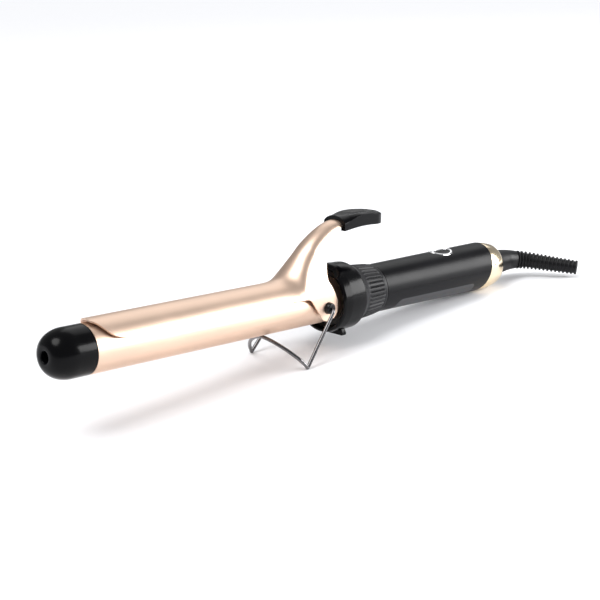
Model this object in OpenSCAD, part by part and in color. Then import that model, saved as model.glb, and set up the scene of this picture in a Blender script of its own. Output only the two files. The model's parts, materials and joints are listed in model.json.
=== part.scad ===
// Curling iron with a sprung hair clamp, a wire rest stand and a swivel cord inlet.
// Everything is drawn along the X axis, tip to the left, then laid down as it rests:
// on the two feet of the wire stand and on the metal ring at the rear of the handle.

/* [Barrel] */
// outer diameter of the heated barrel
barrel_d = 25; // [22:0.5:28]
// free length of the barrel, from the tip cap to the collar
barrel_len = 160.6; // [140:0.1:190]
// wall thickness of the barrel tube
barrel_wall = 0.8; // [0.6:0.1:1.2]
// length of the black tip cap
cap_len = 22; // [20:0.5:26]

/* [Clamp] */
// thickness of the clamp sheet
sheet_t = 0.85; // [0.7:0.05:1.1]
// gap between clamp and barrel when closed
clamp_gap = 0.35; // [0.3:0.05:0.6]
// height of the long side edges of the clamp above the barrel axis
clamp_edge_z = 5.7; // [4:0.1:7]

/* [Handle] */
// handle diameter next to the dial
handle_d_front = 27.2; // [26.6:0.1:28]
// handle diameter at the rear end
handle_d_rear = 28.6; // [28:0.1:30]
// handle length on its axis, behind the dial
handle_len = 92; // [88:0.5:110]
// slant of the rear end of the handle, degrees
end_slant = 15.3; // [8:0.1:18]
// length of the glossy collar
collar_len = 17.4; // [16:0.1:20]
// length of the ribbed dial
dial_len = 22.6; // [21:0.1:26]
// number of grip ribs round the dial
dial_ribs = 36; // [24:1:48]

/* [Stand] */
// diameter of the stand wire
wire_d = 2; // [1.6:0.1:2.4]
// height of the feet below the barrel axis
stand_drop = 28.4; // [25:0.1:32]
// half the distance between the feet
stand_half = 21.4; // [20:0.1:24]

/* [Cord inlet] */
// bend of the strain relief, degrees
boot_bend = 60; // [30:1:70]
// radius of that bend
boot_bend_r = 20; // [16:0.5:30]
// straight length after the bend
boot_straight = 28; // [20:0.5:40]
// number of ribs on the strain relief
boot_ribs = 16; // [10:1:18]
// diameter of the hole for the cord
cord_d = 5.2; // [4:0.1:5.6]

/* [View] */
// which node to draw

/* [Hidden] */
$fn = 72;
e = 0.01;
rb = barrel_d / 2;
rbi = rb - barrel_wall;
fit = 0.1;
x_collar = barrel_len;
x_pivot = x_collar - 8.6;
z_pivot = -1;
x_dial = x_collar + collar_len;
x_handle = x_dial + dial_len;
x_end = x_handle + handle_len;
ring_len = 14.6;
x_ring = x_end + ring_len;
r_hf = handle_d_front / 2;
r_hr = handle_d_rear / 2;
shell_t = 1.9;
r_neck = 12.6;
r_collar = 18.6;
foot_half = 9.3;
r_in = rb + clamp_gap;
r_out = r_in + sheet_t;
y_ear = r_in + 0.1;
stud_r = 3.3;
waist_r = 2.4;
ear_hole_r = stud_r + 0.08;
wire_r = wire_d / 2;
x_foot = x_pivot - 22;
y_leg = 19;
x_apex = x_pivot - 31.6;
z_apex = -(rb + wire_r + 0.4);
arch_r = 17.7;
arch_rise = norm([x_foot - x_apex, stand_drop + z_apex]);
x_btn = x_handle + 60;
screw_x = [x_handle + 18, x_handle + 71];
btn_len = 17;
btn_w = 13;
x_low = x_end + 6;
r_low = r_hr - 0.25;
rest_run = x_low - x_foot;
rest_rise = stand_drop - r_low;
elbow = 0.03;
tilt = atan2(rest_rise, rest_run) + asin((wire_r + elbow) / norm([rest_run, rest_rise]));
rest_z = x_low * sin(tilt) + r_low * cos(tilt);
boot_rib_start = 32;
boot_tilt = 5;
x_bend = x_ring + 13.8;
shift_x = -166;
shift_y = 6.94;

// ---- helpers -------------------------------------------------------------

// lays the whole iron down on its stand and centres it over the origin
module rest() {
    translate([shift_x, shift_y, rest_z])
        rotate([0, tilt, 0])
            children();
}

// solid cylinder along X
module rod(x0, x1, r) {
    translate([x0, 0, 0])
        rotate([0, 90, 0])
            cylinder(h = x1 - x0, r = r);
}

// tube along X
module tube(x0, x1, ro, ri) {
    difference() {
        rod(x0, x1, ro);
        rod(x0 - 1, x1 + 1, ri);
    }
}

// turns a profile of [radius, x] points about the X axis
module turned(points) {
    rotate([0, 90, 0])
        rotate_extrude()
            polygon(points);
}

// extrudes an XZ outline across the iron, from -w to w
module across(w) {
    rotate([90, 0, 0])
        translate([0, 0, -w])
            linear_extrude(height = 2 * w)
                children();
}

// straight wire from point a to point b
module wire(a, b, r) {
    d = b - a;
    translate(a)
        rotate([0, acos(d[2] / norm(d)), atan2(d[1], d[0])])
            cylinder(h = norm(d), r = r, $fn = 24);
}

// wire through a list of points, with round elbows
module wire_path(points, r) {
    for (i = [0 : len(points) - 2])
        wire(points[i], points[i + 1], r);
    for (i = [1 : len(points) - 2])
        translate(points[i])
            sphere(r = r + elbow, $fn = 24);
}

// both sides of the iron
module mirrored() {
    children();
    mirror([0, 1, 0])
        children();
}

// keeps what lies in front of the slanted rear end, shifted by dx
module ahead_of_slant(dx) {
    translate([x_end + dx, 0, 0])
        rotate([0, end_slant, 0])
            translate([-200, -40, -40])
                cube([200, 80, 80]);
}

// ---- tip -----------------------------------------------------------------

module tip_cap() {
    nose = [for (t = [0 : 10 : 90]) [4.5 + (rb - 4.5) * sin(t), -10 - (cap_len - 10) * cos(t)]];
    color("#111113") rest()
        difference() {
            turned(concat([[0, 6], [0, -cap_len]], nose,
                [[rb, -0.3], [rbi - fit, 0], [rbi - fit, 6]]));
            turned([[5, -16.5], [9, -16.5], [9.6, -12], [9.6, 7], [0, 7], [0, -7], [5, -7]]);
            rod(-cap_len - 1, -9.5, 3);
            rod(-10, -6, 1.6);
        }
}

module tip_screw() {
    color("#9a9ca0") rest()
        difference() {
            union() {
                rod(-11.6, -9.6, 2.7);
                rod(-9.6 - e, 9.5, 1.5);
            }
            translate([-11.7, -0.4, -1.8])
                cube([0.9, 0.8, 3.6]);
            translate([-11.7, -1.8, -0.4])
                cube([0.9, 3.6, 0.8]);
        }
}

module tip_plate() {
    color("#b4b6b8") rest()
        tube(6.6, 9, rbi - fit, 1.55);
}

// ---- barrel and heater ---------------------------------------------------

module barrel() {
    color("#d9b9a0") rest()
        difference() {
            tube(0, x_collar + 9.4, rb, rbi);
            translate([x_pivot, 20, z_pivot])
                rotate([90, 0, 0])
                    cylinder(h = 40, r = waist_r + 0.1);
        }
}

// half round aluminium block that carries heat to the tube
module spreader() {
    intersection() {
        rod(22, 122, rbi - fit);
        translate([20, -15, 2.15])
            cube([104, 30, 20]);
    }
}

module heat_spreader_upper() {
    color("#c2c5c9") rest()
        spreader();
}

module heat_spreader_lower() {
    color("#b8bbc0") rest()
        mirror([0, 0, 1])
            spreader();
}

module ptc_stones() {
    color("#6d6f74") rest()
        for (i = [0 : 4])
            translate([27 + 18 * i, -6, -1])
                cube([16, 12, 2]);
}

module electrodes() {
    color("#c98d4e") rest()
        for (s = [0, 1])
            mirror([0, 0, s])
                translate([26, -6, 1.05])
                    cube([98 + 3 * s, 12, 0.45]);
}

module heater_wrap() {
    color("#b5651d") rest()
        difference() {
            translate([24, -7, -2.05])
                cube([96, 14, 4.1]);
            translate([23, -6.5, -1.6])
                cube([98, 13, 3.2]);
        }
}

module thermal_fuse() {
    color("#c9cbd0") rest()
        translate([0, 9.2, 0]) {
            rod(60, 71, 1.8);
            rod(71 - e, 125, 0.5);
            rod(50, 60 + e, 0.5);
        }
}

module thermistor() {
    color("#7a2f22") rest()
        translate([0, -9.2, 0]) {
            rod(90, 95, 1.3);
            rod(95 - e, 125, 0.6);
        }
}

module lead_wires() {
    color("#e9e4da") rest()
        mirrored()
            wire_path([[125.5, 4, 0], [170, 4, 0], [196, 4.6, -3], [212, 4.6, -3]], 0.8);
}

// ---- pivots --------------------------------------------------------------

module pivot_bracket() {
    color("#8f9296") rest()
        difference() {
            tube(x_pivot - 6, x_pivot + 6, rbi - fit, 8.4);
            translate([x_pivot, 20, z_pivot])
                rotate([90, 0, 0])
                    cylinder(h = 40, r = 1.6);
        }
}

module pivot_studs() {
    dome = [for (t = [0 : 15 : 90]) [2.3 + (stud_r - 2.3) * cos(t), 14.3 + 2.9 * sin(t)]];
    color("#141416") rest()
        mirrored()
            translate([x_pivot, 0, z_pivot])
                rotate([90, 0, 0])
                    difference() {
                        rotate_extrude()
                            polygon(concat([[0, 8.5], [1.5, 8.5], [1.5, rbi], [waist_r, rbi],
                                [waist_r, rb + 0.1], [stud_r, rb + 0.1]], dome, [[0, 17.2]]));
                        translate([0, 0, 12.8])
                            cylinder(h = 5, r = wire_r + 0.05, $fn = 36);
                    }
}

// ---- clamp ---------------------------------------------------------------

// front face of the lever, from its root to the neck
function lever_front() = [[124, 13.5], [128, 14.3], [131.5, 15.8], [135, 18.3], [138.5, 21.9],
    [142, 25.7], [146, 29.7], [150, 33], [154.5, 36], [159, 38.4], [163.5, 40.3], [168.5, 41.6], [172, 42]];

// rear edge of the side flanks, from the neck down to the ear
function lever_rear() = [[172, 39.6], [168.5, 39.2], [165, 38], [162, 35.8], [159.6, 32.2],
    [157.4, 27.6], [156, 23], [154.6, 17.6], [153.3, 12.8], [154.6, 8.8], [156.8, 6], [158.6, 3],
    [159.2, 0]];

// lower edge of the clamp, from the ear forward to the blade
function ear_edge() = [for (t = [-10 : -12 : -130]) [x_pivot + 7.2 * cos(t), z_pivot + 7.2 * sin(t)]];

function ear_rise() = [[145.4, -3.6], [143.3, -1], [141.4, 1.6], [139.6, 4], [136.5, clamp_edge_z]];

module lever_side() {
    polygon(concat(lever_front(), lever_rear(), ear_edge(), ear_rise(), [[134.5, 9], [128, 12]]));
}

// half widths of the lever against height
function lever_width() = [[-9, 13.8], [6, 13.8], [10, 12.9], [13, 11.6], [17, 9.7], [21, 8.3],
    [26, 7], [31, 6.1], [36, 5.5], [43, 5.3]];

module lever_face(t) {
    w = lever_width();
    translate([120, 0, 0])
        rotate([90, 0, 90])
            linear_extrude(height = 60)
                polygon(concat([for (p = w) [p[1] - t, p[0]]],
                    [for (i = [len(w) - 1 : -1 : 0]) [t - w[i][1], w[i][0]]]));
}

// long blade that lies on the barrel
module blade_side() {
    polygon([[2, 16], [2, 13.2], [4.3, 12.6], [5, 11], [6.5, 9.3], [8.5, 7.8], [11, 6.6], [14, 6],
        [20, clamp_edge_z], [141, clamp_edge_z], [141, 16]]);
}

module clamp() {
    color("#dcbda4") rest()
        difference() {
            union() {
                intersection() {
                    rod(2, 142, r_out);
                    across(20)
                        blade_side();
                }
                intersection() {
                    across(20)
                        lever_side();
                    lever_face(0);
                }
                translate([168, -4.6, 40.4])
                    cube([26, 9.2, 1]);
            }
            intersection() {
                across(20)
                    offset(delta = -sheet_t)
                        union() {
                            lever_side();
                            polygon([[128, 12], [134.5, 9], [136.5, clamp_edge_z], [136.5, -14],
                                [176, -14], [176, 37], [172, 39.6], [153, 18]]);
                        }
                lever_face(sheet_t);
            }
            rod(0, 170, r_in);
            translate([x_pivot, 20, z_pivot])
                rotate([90, 0, 0])
                    cylinder(h = 40, r = ear_hole_r);
            translate([144.7, 0, 27.4])
                rotate([0, -45, 0])
                    cylinder(h = 6, r = 1.25, center = true, $fn = 24);
            translate([186, 0, 36])
                cylinder(h = 8, r = 1.3, $fn = 24);
        }
}

// leaf spring under the lever that presses the blade onto the barrel
module clamp_spring() {
    color("#a9adb2") rest()
        across(3.5)
            polygon([[142.8, 24.9], [147.4, 29.5], [148.6, 29.5], [149.4, 28.6], [150.8, 22],
                [152.2, 17.3], [154.2, 14.4], [157, 13.2], [159.6, 13.6], [159.7, 13.1], [157, 12.7],
                [153.8, 14], [151.7, 17.1], [150.3, 21.9], [148.9, 28.4], [148.4, 28.9], [147.7, 28.9],
                [143.2, 24.5]]);
}

module spring_rivet() {
    color("#c9a98f") rest()
        translate([145.05, 0, 27.05])
            rotate([0, -45, 0]) {
                translate([0, 0, -0.6])
                    cylinder(h = 1.7, r = 1.15, $fn = 24);
                translate([0, 0, -1.05])
                    cylinder(h = 0.6, r = 2, $fn = 24);
                translate([0, 0, 1.05])
                    cylinder(h = 0.5, r = 2, $fn = 24);
            }
}

// outline of the thumb rest seen from above
module thumb_plan(inset) {
    translate([0, 0, 30])
        linear_extrude(height = 20)
            union() {
                translate([170 + inset, inset - 8])
                    square([26 - inset, 16 - 2 * inset]);
                translate([196, 0])
                    circle(r = 8 - inset);
            }
}

module thumb_rest() {
    color("#0d0d0f") rest()
        difference() {
            intersection() {
                across(12)
                    polygon([[169, 37.5], [169, 44.6], [173, 45.3], [178, 45.8], [184, 45.9], [190, 45.8],
                        [196, 45.3], [201, 44.5], [205, 43.4], [205, 38.8], [196, 38.6], [190, 38.9],
                        [184, 38.9], [177, 38.3]]);
                thumb_plan(0);
            }
            translate([178, 0, 59.1])
                rotate([0, 91, 0])
                    cylinder(h = 40, r = 14.4, $fn = 96);
            mirrored()
                translate([168, 9.4, 41.9])
                    rotate([45, 0, 6])
                        cube([16, 3, 6]);
            intersection() {
                thumb_plan(1.4);
                translate([160, -8, 36])
                    cube([50, 16, 5.45]);
            }
            translate([165, -5.5, 36])
                cube([8, 11, 6.2]);
            translate([186, 0, 40])
                cylinder(h = 3.4, r = 1.1, $fn = 24);
        }
}

module thumb_rest_base() {
    color("#17171a") rest()
        difference() {
            intersection() {
                translate([173.5, -8, 38.9])
                    cube([40, 16, 1.45]);
                thumb_plan(1.6);
            }
            translate([186, 0, 36])
                cylinder(h = 8, r = 1.3, $fn = 24);
            translate([186, 0, 36])
                cylinder(h = 3.75, r = 2.2, $fn = 24);
        }
}

module thumb_screw() {
    color("#8d9095") rest()
        translate([186, 0, 38.95]) {
            cylinder(h = 0.75, r = 2, $fn = 24);
            cylinder(h = 4.2, r = 1.05, $fn = 24);
        }
}

// ---- stand ---------------------------------------------------------------

// point of the arch plane, y across and h up from the feet
function arch_point(y, h) = [x_foot + (x_apex - x_foot) * h / arch_rise, y,
    -stand_drop + (z_apex + stand_drop) * h / arch_rise];

module stand_wire() {
    hub_h = arch_rise - arch_r;
    phi = 90 + atan(hub_h / stand_half) - acos(arch_r / norm([stand_half, hub_h]));
    color("#2b2a2c") rest() {
        translate(arch_point(0, hub_h))
            rotate([0, atan2(-z_apex - stand_drop, x_apex - x_foot), 0])
                rotate([0, 0, -phi])
                    rotate_extrude(angle = 2 * phi)
                        translate([arch_r, 0])
                            circle(r = wire_r, $fn = 24);
        mirrored() {
            translate(arch_point(arch_r * sin(phi), hub_h + arch_r * cos(phi)))
                sphere(r = wire_r + elbow, $fn = 24);
            wire_path([arch_point(arch_r * sin(phi), hub_h + arch_r * cos(phi)),
                [x_foot, stand_half, -stand_drop], [x_pivot, y_leg, z_pivot],
                [x_pivot, 13.1, z_pivot]], wire_r);
        }
    }
}

// ---- collar and dial -----------------------------------------------------

module collar() {
    r0 = r_collar;
    color("#101012") rest()
        difference() {
            union() {
                difference() {
                    turned([[r0 - 2, x_collar], [r0 - 0.7, x_collar], [r0 - 0.1, x_collar + 1.2],
                        [r0 + 0.3, x_collar + 6], [r0 + 0.2, x_collar + 12], [r0, x_dial - 0.6],
                        [r0 - 0.5, x_dial], [r0 - 1.6, x_dial], [r0 - 1.6, x_dial - 2], [r_neck, x_dial - 2],
                        [r_neck, x_handle + 0.2], [r_neck - 1.1, x_handle + 0.2],
                        [r_neck - 1.1, x_handle + 7], [10, x_handle + 7], [10, x_dial - 6],
                        [15.2, x_dial - 6], [15.2, x_collar + 5], [r0 - 2, x_collar + 4]]);
                    translate([x_collar - 6.5, 30, 27])
                        rotate([90, 0, 0])
                            cylinder(h = 60, r = 15);
                }
                difference() {
                    translate([x_collar + 8.3, -foot_half, -20])
                        cube([3, 2 * foot_half, 8]);
                    rod(x_collar, x_dial, 16.5);
                }
            }
            mirrored()
                translate([x_collar + 7, foot_half, -20])
                    rotate([45, 0, 0])
                        cube([5, 1.2, 1.2]);
        }
}

module barrel_bush() {
    color("#5b4a3a") rest()
        turned([[rb + 0.05, x_collar + 5.2], [15.1, x_collar + 5.2], [15.1, x_dial - 6.1],
            [9, x_dial - 6.1], [9, x_collar + 9.6], [rb + 0.05, x_collar + 9.6]]);
}

module contact_board() {
    color("#1f6b3a") rest()
        tube(x_dial - 1.95, x_dial - 0.75, r_collar - 1.75, r_neck + 0.2);
}

module dial_ring() {
    r_bore = r_neck + 0.08;
    color("#1b1b1e") rest()
        difference() {
            union() {
                turned([[r_bore, x_dial + 0.4], [17.3, x_dial + 0.4], [17.6, x_dial + 0.8],
                    [17.2, x_dial + 1.9], [16.2, x_dial + 3.8], [15.5, x_dial + 5.6], [15.2, x_dial + 7.2],
                    [14.6, x_dial + 13], [14, x_handle - 2.4], [14.1, x_handle - 1.8],
                    [14, x_handle - 0.4], [r_bore, x_handle - 0.4]]);
                for (i = [0 : dial_ribs - 1])
                    rotate([i * 360 / dial_ribs, 0, 0])
                        wire([x_dial + 6.8, 0, 15.15], [x_handle - 2.6, 0, 14], 0.55);
            }
            turned([[14, x_dial - 1], [16.2, x_dial - 1], [16.2, x_dial + 2.4], [14, x_dial + 4.4]]);
        }
}

module dial_wiper() {
    color("#caa24a") rest()
        rotate([60, 0, 0])
            for (y = [-1.6, 0.4])
                translate([x_dial - 0.4, y, 14.2])
                    cube([2.6, 1.2, 1.8]);
}

// ---- handle --------------------------------------------------------------

module shell_solid() {
    slope = (r_hr - r_hf) / handle_len;
    intersection() {
        turned([[r_hf - shell_t, x_handle + 0.4], [r_hf - 0.4, x_handle + 0.4], [r_hf, x_handle + 0.8],
            [r_hr + 4 * slope, x_end + 4], [r_hr - shell_t, x_end + 4]]);
        ahead_of_slant(0);
    }
}

// screw pillar between the shells
module pillar(x, z0, z1, r) {
    translate([x, 0, z0])
        cylinder(h = z1 - z0, r = r, $fn = 36);
}

// outline of the underside plate, grown by g
module plate_side(g) {
    offset(r = g)
        offset(r = 4)
            translate([x_handle + 15.4, -22])
                square([60, 13.6]);
}

module plate_band(g) {
    slope = (r_hr - r_hf) / handle_len;
    intersection() {
        turned([[r_hf - 0.85 - g, x_handle], [r_hf - 0.03 + 3 * g, x_handle],
            [r_hf - 0.03 + 3 * g + 88 * slope, x_handle + 88], [r_hf - 0.85 - g + 88 * slope, x_handle + 88]]);
        across(20)
            plate_side(g);
    }
}

module button_hole(g) {
    translate([x_btn, 0, 9])
        linear_extrude(height = 8)
            resize([btn_len + 2 * g, btn_w + 2 * g])
                circle(r = 8);
}

module handle_upper() {
    color("#232326") rest()
        difference() {
            union() {
                intersection() {
                    shell_solid();
                    translate([x_handle, -20, 0.05])
                        cube([120, 40, 20]);
                }
                for (x = screw_x)
                    pillar(x, 0.6, 12.6, 2.6);
            }
            button_hole(0.1);
            for (x = screw_x)
                pillar(x, 0, 8, 1.1);
        }
}

module handle_lower() {
    color("#212124") rest()
        difference() {
            union() {
                intersection() {
                    shell_solid();
                    translate([x_handle, -20, -20.05])
                        cube([120, 40, 20]);
                }
                for (x = screw_x)
                    pillar(x, -12.4, 0.4, 3.4);
            }
            plate_band(0.08);
            for (x = screw_x) {
                pillar(x, -20, 2, 1.35);
                pillar(x, -20, -5, 2.5);
            }
        }
}

module rating_plate() {
    color("#3a3a3f") rest()
        plate_band(0);
}

module shell_screws() {
    color("#8d9095") rest()
        for (x = screw_x) {
            pillar(x, -7, -5.05, 2.3);
            pillar(x, -5.1, 6, 1.05);
        }
}

// ---- button --------------------------------------------------------------

module button_bezel() {
    color("#d5d7da") rest()
        intersection() {
            difference() {
                button_hole(0);
                button_hole(-1.6);
            }
            rod(x_btn - 20, x_btn + 20, r_hf + 0.9);
        }
}

module power_button() {
    color("#08080a") rest() {
        intersection() {
            button_hole(-1.75);
            tube(x_btn - 20, x_btn + 20, r_hf + 0.4, r_hf - 2.4);
        }
        translate([x_btn, 0, 7.5])
            cylinder(h = 4.8, r = 1.8, $fn = 36);
    }
}

module tact_switch() {
    color("#c9c9cc") rest() {
        translate([x_btn - 3, -3, 2.8])
            cube([6, 6, 3.2]);
        translate([x_btn, 0, 5.9])
            cylinder(h = 1.1, r = 1.6, $fn = 36);
    }
}

// ---- electronics ---------------------------------------------------------

module control_board() {
    color("#1c6a38") rest()
        difference() {
            translate([x_handle + 10, -9, 1.1])
                cube([68, 18, 1.6]);
            for (x = screw_x)
                pillar(x, 0, 4, 3);
        }
}

module board_parts() {
    color("#2d2f33") rest() {
        translate([x_handle + 30, -4.5, -5])
            cube([12, 9, 6]);
        translate([x_handle + 46, -3, -6.5])
            cube([5, 6, 7.5]);
        pillar(x_handle + 60, -6.5, 1, 3);
    }
}

// ---- rear end and swivel -------------------------------------------------

module end_ring() {
    color("#d8bf95") rest()
        difference() {
            turned([[r_hr - 1.9, x_end - 5], [r_hr - 0.15, x_end - 5], [r_low, x_low],
                [13.5, x_ring - 5], [12.8, x_ring - 2], [12.3, x_ring - 0.8], [11.5, x_ring - 0.2],
                [9.4, x_ring], [9.4, x_ring - 2], [10.6, x_ring - 2], [11.9, x_ring - 6]]);
            ahead_of_slant(0.15);
        }
}

module swivel_housing() {
    color("#3c3d41") rest()
        turned([[7.18, x_ring - 12], [7.18, x_ring - 4], [10.3, x_ring - 4], [10.3, x_ring - 8],
            [11.2, x_ring - 10], [11.9, x_end - 8], [11.9, x_end - 12], [8.6, x_end - 12],
            [8.6, x_ring - 12]]);
}

module contact_brushes() {
    color("#c59a3f") rest()
        for (i = [0, 1])
            translate([x_end - 9 + 5 * i, -1.5, 6.75])
                cube([2.4, 3, 1.7]);
}

module swivel_rotor() {
    color("#2a2b2e") rest()
        difference() {
            turned([[0, x_end - 11], [5.4, x_end - 11], [5.4, x_ring - 12.6], [7.1, x_ring - 12.6],
                [7.1, x_ring - 3.4], [8.6, x_ring - 3.4], [8.6, x_ring - 2.2], [0, x_ring - 2.2]]);
            rod(x_end - 12, x_ring, 2.6);
        }
}

module slip_rings() {
    color("#d8a94b") rest()
        for (i = [0, 1])
            tube(x_end - 9 + 5 * i, x_end - 6.6 + 5 * i, 6.4, 5.45);
}

// moves children to distance s along the bend and the straight after it
module on_boot(s) {
    arc = boot_bend_r * boot_bend * PI / 180;
    a = min(s, arc) / boot_bend_r * 180 / PI;
    translate([x_bend, 0, 0])
        rotate([boot_tilt, 0, 0])
            translate([boot_bend_r * sin(a), boot_bend_r * (cos(a) - 1), 0])
                rotate([0, 0, -a])
                    translate([max(s - arc, 0), 0, 0])
                        rotate([0, 90, 0])
                            children();
}

// part of the bend, from angle a0 to a1, as a round bar
module bend_bar(a0, a1, r) {
    translate([x_bend, 0, 0])
        rotate([boot_tilt, 0, 0])
            translate([0, -boot_bend_r, 0])
                rotate([0, 0, 90 - a1])
                    rotate_extrude(angle = a1 - a0)
                        translate([boot_bend_r, 0])
                            circle(r = r, $fn = 48);
}

module strain_relief() {
    arc = boot_bend_r * boot_bend * PI / 180;
    s0 = boot_bend_r * boot_rib_start * PI / 180;
    total = arc + boot_straight;
    pitch = (total - s0 - 1.4) / (boot_ribs - 1);
    color("#131315") rest()
        difference() {
            union() {
                turned([[0, x_ring - 2.1], [8.6, x_ring - 2.1], [8.4, x_ring + 1], [7.5, x_ring + 8],
                    [6.9, x_bend + 0.1], [0, x_bend + 0.1]]);
                for (i = [0 : 3])
                    bend_bar(8 * i, 8 * i + 8.5, 6.7 - 0.35 * i);
                bend_bar(boot_rib_start, boot_bend + 0.5, 4.5);
                on_boot(arc)
                    cylinder(h = boot_straight, r1 = 4.5, r2 = 3.7);
                for (i = [0 : boot_ribs - 1])
                    on_boot(s0 + i * pitch)
                        cylinder(h = 1.4, r = 5.6 - 1.3 * i / (boot_ribs - 1));
            }
            on_boot(arc + boot_straight - 18)
                cylinder(h = 20, r = cord_d / 2);
        }
}

tip_cap();
tip_screw();
tip_plate();
barrel();
heat_spreader_upper();
heat_spreader_lower();
ptc_stones();
electrodes();
heater_wrap();
thermal_fuse();
thermistor();
lead_wires();
pivot_bracket();
pivot_studs();
clamp();
clamp_spring();
spring_rivet();
thumb_rest();
thumb_rest_base();
thumb_screw();
stand_wire();
collar();
barrel_bush();
contact_board();
dial_ring();
dial_wiper();
handle_upper();
handle_lower();
rating_plate();
shell_screws();
button_bezel();
power_button();
tact_switch();
control_board();
board_parts();
end_ring();
swivel_housing();
contact_brushes();
swivel_rotor();
slip_rings();
strain_relief();
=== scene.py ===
"""Curling iron at rest on its wire stand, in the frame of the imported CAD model."""

import json
import math

import bmesh
import bpy
import numpy as np
from mathutils import Matrix, Vector


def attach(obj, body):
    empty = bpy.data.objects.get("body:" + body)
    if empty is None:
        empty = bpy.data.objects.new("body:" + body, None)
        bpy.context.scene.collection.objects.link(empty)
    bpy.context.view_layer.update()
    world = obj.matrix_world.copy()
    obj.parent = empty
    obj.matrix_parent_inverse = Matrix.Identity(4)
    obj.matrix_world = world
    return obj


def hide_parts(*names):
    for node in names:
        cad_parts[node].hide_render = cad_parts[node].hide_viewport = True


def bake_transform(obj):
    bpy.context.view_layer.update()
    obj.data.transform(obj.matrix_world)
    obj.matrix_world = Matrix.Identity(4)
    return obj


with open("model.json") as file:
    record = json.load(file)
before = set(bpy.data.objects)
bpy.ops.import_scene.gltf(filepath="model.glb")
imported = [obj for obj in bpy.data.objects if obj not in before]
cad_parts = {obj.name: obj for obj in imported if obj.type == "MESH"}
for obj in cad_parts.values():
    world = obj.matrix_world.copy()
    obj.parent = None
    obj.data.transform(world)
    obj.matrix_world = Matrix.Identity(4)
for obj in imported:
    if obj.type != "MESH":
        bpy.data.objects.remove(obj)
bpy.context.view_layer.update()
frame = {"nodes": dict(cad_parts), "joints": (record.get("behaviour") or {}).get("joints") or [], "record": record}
scene = bpy.context.scene

# ---- frame of the iron ------------------------------------------------------
# Pieces are drawn in millimetres along the iron's own axis, x = 0 where the barrel
# leaves the tip cap and z towards the clamp, then laid on the stand as the model is.

MM = 0.001
BARREL_R = 12.5
BLADE_R = 13.7
SHEET = 0.85
PIVOT_X = 152.0
PIVOT_Z = -1.0
COLLAR_X = 160.6
COLLAR_R = 18.6
DIAL_X = 178.0
HANDLE_X = 200.6
HANDLE_END = 292.6
RING_END = 307.2
BEND_X = 321.0

SWIVEL = next(joint for joint in frame["joints"] if joint["name"] == "cord_swivel")
AXIS = Vector(SWIVEL["axis"]).normalized()
SIDE = Vector((0, 1, 0))
UP = AXIS.cross(SIDE)
ORIGIN = Vector(SWIVEL["pos_m"]) - AXIS * RING_END * MM
REST = Matrix.Translation(ORIGIN) @ (Matrix((AXIS, SIDE, UP)).transposed() * MM).to_4x4()

# ---- camera -----------------------------------------------------------------

CAMERA_AT = Vector((-0.5656, -0.5518, 0.2688))
CAMERA_YAW = -44.23
CAMERA_PITCH = -17.04
CAMERA_ROLL = -2.56
LENS = 91.1


def add_camera():
    data = bpy.data.cameras.new("camera")
    data.lens = LENS
    data.sensor_width = 36
    data.clip_start = 0.01
    camera = bpy.data.objects.new("camera", data)
    scene.collection.objects.link(camera)
    turn = Matrix.Rotation(math.radians(CAMERA_YAW), 4, "Z")
    tip = Matrix.Rotation(math.radians(90 + CAMERA_PITCH), 4, "X")
    roll = Matrix.Rotation(math.radians(CAMERA_ROLL), 4, "Z")
    camera.matrix_world = Matrix.Translation(CAMERA_AT) @ turn @ tip @ roll
    scene.camera = camera


add_camera()

# ---- materials --------------------------------------------------------------


CLOUD_SCALE = 45.0
FINE_SHARE = 0.35


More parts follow.
